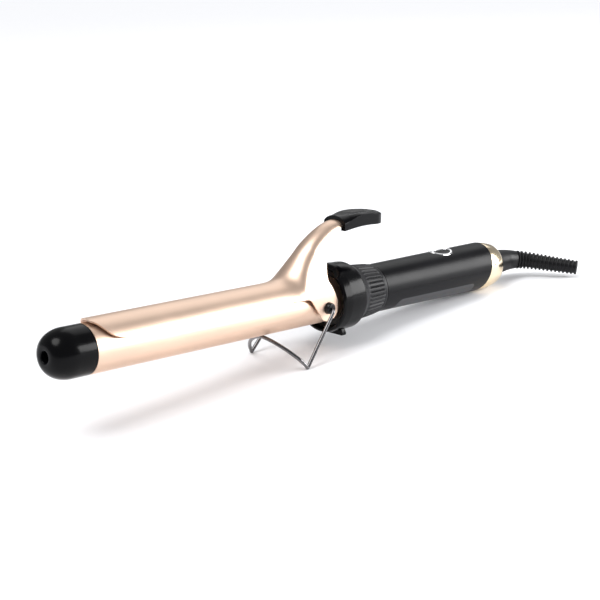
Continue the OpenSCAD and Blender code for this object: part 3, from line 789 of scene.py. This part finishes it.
def on_oval(half_long, half_wide, a, crown, drop):
    """Point on an oval that follows the handle's crown, lowered by drop."""
    x, y = half_long * math.cos(a), half_wide * math.sin(a)
    return (BUTTON_X + x, y, math.sqrt(crown ** 2 - y * y) - drop)


def make_bezel():
    ring = [(0, 3.2), (0, 0.3), (0.15, 0.1), (0.45, 0), (1.0, 0.02), (1.35, 0.14), (1.6, 0.4), (1.6, 3.2)]
    points = [on_oval(8.5 - inset, 6.5 - inset, a, BEZEL_CROWN, drop)
              for a in turns(OVAL_STEPS) for inset, drop in ring]
    obj = draft("button_rim", points, grid(OVAL_STEPS, len(ring), True, True))
    finish(obj, "iron_body", "bright_chrome", "button_bezel", angle=60, weighted=False)


def make_button():
    rings = [(0, 3.0), (0, 0.3), (0.1, 0.12), (0.3, 0.02), (0.7, 0), (1.6, -0.02), (3.2, -0.05)]
    points = [on_oval(6.75 - inset, 4.75 - inset, a, BUTTON_CROWN, drop)
              for inset, drop in rings for a in turns(OVAL_STEPS)]
    obj = capped("button_cap", points, OVAL_STEPS)
    join(obj, slab("stem", circle(BUTTON_X, 0, STEM_R, 32), 7.5, 12.3))
    finish(obj, "button", "gloss_black", "power_button", angle=50, weighted=False)


make_bezel()
make_button()

# ---- end ring ---------------------------------------------------------------


RING_STEPS = 160
RING_GAP = 0.16


def slanted(r, a):
    """x of the ring's front face, which is cut at the same slant as the handle's end."""
    return HANDLE_END + RING_GAP + r * math.sin(a) * SLANT


def make_end_ring():
    # each point as how far it is before the ring's rear face, and its radius
    rear = [(5, 13.5), (2.4, 12.95), (1.9, 12.8), (1.2, 12.5), (0.7, 12.15), (0.3, 11.6), (0.1, 11), (0, 9.7),
            (0.25, 9.4), (2, 9.4), (2, 10.6), (6, 11.9)]
    points = []
    for a in turns(RING_STEPS):
        ring = [(slanted(12.3, a), 12.3), (slanted(13.9, a), 13.85), (slanted(14.1, a) + 0.12, 14.06),
                (slanted(14.1, a) + 0.4, 14.12), (HANDLE_END + 6, HANDLE_RR - 0.25)]
        ring += [(RING_END - back, r) for back, r in rear]
        points += [about_axis(x, r, a) for x, r in ring]
    obj = draft("rear_ring", points, grid(RING_STEPS, len(points) // RING_STEPS, True, True))
    finish(obj, "iron_body", "gold_plate", "end_ring", angle=30, weighted=False)


make_end_ring()

# ---- strain relief ----------------------------------------------------------

BEND_R = 20.0
BEND = math.radians(60)
BOOT_TILT = math.radians(5)
BOOT_STRAIGHT = 28.0
BOOT_RIBS = 16
RIB_START = 32.0
RIB_SHARE = 0.58
RIB_TAIL = 1.4
BORE_R = 2.6
BORE_DEEP = 18.0
# places along the centre line, counted from where the bend starts, and the smooth cone's radii
BOOT_START = -15.9
BOOT_RIBBED = BEND_R * math.radians(RIB_START)
BOOT_END = BEND_R * BEND + BOOT_STRAIGHT
BOOT_CONE = [(BOOT_START, 8.55), (-12, 8.3), (-5.8, 7.4), (0, 6.8), (5, 6.2), (9, 5.65), (11.17, 5.3)]
BOOT_STEPS = 64


def boot_point(s):
    """Centre line of the strain relief, s counted from where the bend starts."""
    arc = BEND_R * BEND
    a = min(max(s, 0), arc) / BEND_R
    x, y = BEND_R * math.sin(a), BEND_R * (math.cos(a) - 1)
    if s > arc:
        x, y = x + (s - arc) * math.cos(a), y - (s - arc) * math.sin(a)
    if s < 0:
        x = s
    return Vector((BEND_X + x, y * math.cos(BOOT_TILT), y * math.sin(BOOT_TILT)))


def boot_radius(s):
    """Radius of the strain relief: a smooth cone, then ribs that shrink towards its end."""
    if s < BOOT_RIBBED:
        return float(curve(BOOT_CONE, s)[0, 0])
    pitch = (BOOT_END - BOOT_RIBBED - RIB_TAIL) / (BOOT_RIBS - 1)
    share = (s - BOOT_RIBBED) / (BOOT_END - BOOT_RIBBED)
    phase = ((s - BOOT_RIBBED) / pitch) % 1.0
    top = 5.6 - 1.3 * share
    groove = 4.5 - 0.8 * share
    if phase < RIB_SHARE:
        edge = min(phase, RIB_SHARE - phase) / (RIB_SHARE / 2)
        lift = min(1, (1 - (1 - min(edge * 1.8, 1)) ** 2) ** 0.5)
    else:
        lift = 0
    return groove + (top - groove) * lift


def make_boot():
    places = list(np.linspace(BOOT_START, BOOT_RIBBED, 46))[:-1]
    places += list(np.arange(BOOT_RIBBED, BOOT_END - 0.05, 0.12)) + [BOOT_END - 0.04]
    outer = [(s, boot_radius(s)) for s in places]
    end_r = outer[-1][1]
    outer[0] = (BOOT_START, 8.4)
    bore = [(BOOT_END, end_r - 0.15), (BOOT_END, BORE_R + 0.3), (BOOT_END - 0.25, BORE_R),
            (BOOT_END - BORE_DEEP, BORE_R)]
    points = []
    for s, r in outer + bore:
        centre = boot_point(s)
        ahead = (boot_point(s + 0.05) - boot_point(s - 0.05)).normalized()
        side = ahead.cross(Vector((0, -math.sin(BOOT_TILT), math.cos(BOOT_TILT)))).normalized()
        up = side.cross(ahead)
        points += [centre + (side * math.cos(a) + up * math.sin(a)) * r for a in turns(BOOT_STEPS)]
    obj = capped("boot_sleeve", points, BOOT_STEPS)
    finish(obj, "swivel", "boot_rubber", "strain_relief", angle=50, weighted=False)


make_boot()

# ---- floor and light --------------------------------------------------------

FLOOR_REACH = 9.0
WORLD_SEEN = 1.05
WORLD_DIFFUSE = 0.57
WORLD_GLOSSY = 0.32
LIGHTS_AIM = Vector((0, 0, 0.03))


def make_floor():
    r = FLOOR_REACH
    mesh = bpy.data.meshes.new("floor")
    mesh.from_pydata([(-r, -r, 0), (r, -r, 0), (r, r, 0), (-r, r, 0)], [], [(0, 1, 2, 3)])
    obj = bpy.data.objects.new("floor", mesh)
    scene.collection.objects.link(obj)
    mesh.materials.append(surface("floor", (0.9, 0.9, 0.92), 0, 0.9, 0.02, 0.004, 900, 0.02))


def make_world():
    """White to the camera, less bright for the floor, and dimmer still in a gloss surface."""
    world = scene.world or bpy.data.worlds.new("world")
    scene.world = world
    world.use_nodes = True
    tree = world.node_tree
    back = tree.nodes["Background"]
    back.inputs["Color"].default_value = (0.97, 0.985, 1, 1)
    rays = tree.nodes.new("ShaderNodeLightPath")
    level = None
    for ray, strength in (("Is Camera Ray", WORLD_SEEN), ("Is Glossy Ray", WORLD_GLOSSY)):
        add = tree.nodes.new("ShaderNodeMath")
        add.operation = "MULTIPLY_ADD"
        add.inputs[1].default_value = strength - WORLD_DIFFUSE
        add.inputs[2].default_value = WORLD_DIFFUSE
        tree.links.new(rays.outputs[ray], add.inputs[0])
        if level:
            tree.links.new(level, add.inputs[2])
        level = add.outputs["Value"]
    tree.links.new(level, back.inputs["Strength"])


def area(name, at, size, power):
    """Soft rectangular lamp, aimed at the iron."""
    data = bpy.data.lights.new(name, "AREA")
    data.shape = "RECTANGLE"
    data.size, data.size_y = size
    data.energy = power
    lamp = bpy.data.objects.new(name, data)
    lamp.location = at
    lamp.rotation_euler = (LIGHTS_AIM - Vector(at)).to_track_quat("-Z", "Y").to_euler()
    scene.collection.objects.link(lamp)


def sun(name, towards, strength, spread):
    """Even light from the direction towards, as wide as spread in degrees."""
    data = bpy.data.lights.new(name, "SUN")
    data.energy = strength
    data.angle = math.radians(spread)
    lamp = bpy.data.objects.new(name, data)
    lamp.rotation_euler = Vector(towards).to_track_quat("Z", "Y").to_euler()
    scene.collection.objects.link(lamp)


make_floor()
make_world()
sun("overhead", (-0.5, 0.1, 1.05), 1.85, 34)
area("side", (0.7, -0.62, 0.3), (0.8, 0.45), 11)
area("rear", (0.75, 0.5, 0.8), (0.9, 0.9), 2.5)
scene.view_settings.view_transform = "Standard"
